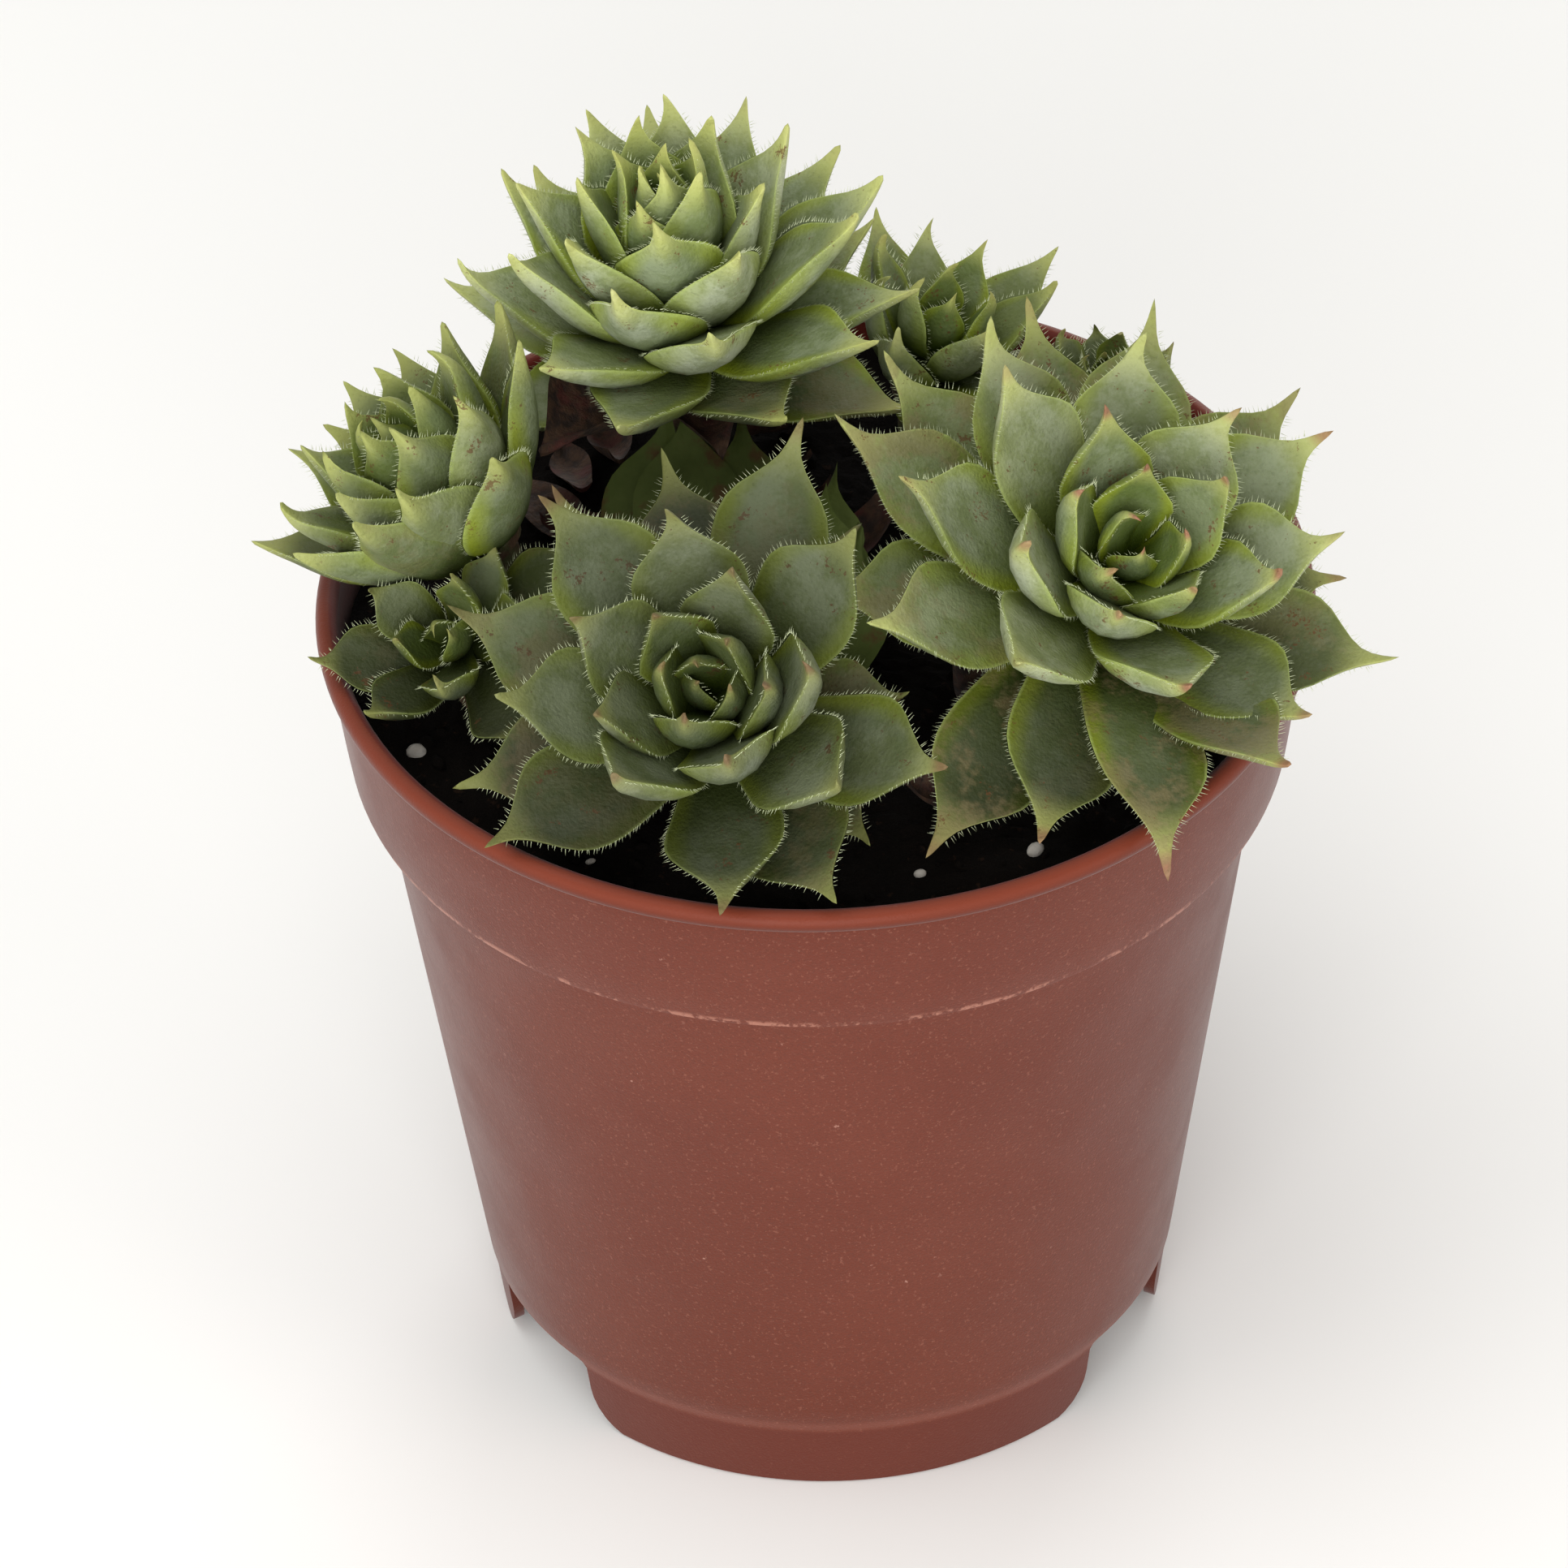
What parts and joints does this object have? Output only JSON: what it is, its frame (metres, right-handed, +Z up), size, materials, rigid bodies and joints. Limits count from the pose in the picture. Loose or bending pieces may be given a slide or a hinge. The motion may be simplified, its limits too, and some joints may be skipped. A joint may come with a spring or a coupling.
{
  "type": "potted succulent",
  "caption": "Clump of houseleek rosettes over the rim of a small round tapered nursery pot of dark soil, with a collar, a rolled lip and a notched foot.",
  "frame": {"origin": "middle of the pot's foot, on the surface that it stands on", "axes": "+Z is up along the pot's axis, -Y is the front of the picture's view, +X is the viewer's right"},
  "size_m": [0.1196, 0.1118, 0.1353],
  "materials": {
    "pot_plastic": "satin",
    "soil": "matte",
    "leaf": "satin"
  },
  "bodies": {
    "root": {"pot": "pot_plastic", "soil": "soil", "head_front": "leaf", "head_right": "leaf", "head_top": "leaf", "head_left": "leaf", "head_rear": "leaf", "pup_right": "leaf", "pup_left": "leaf"}
  },
  "joints": []
}
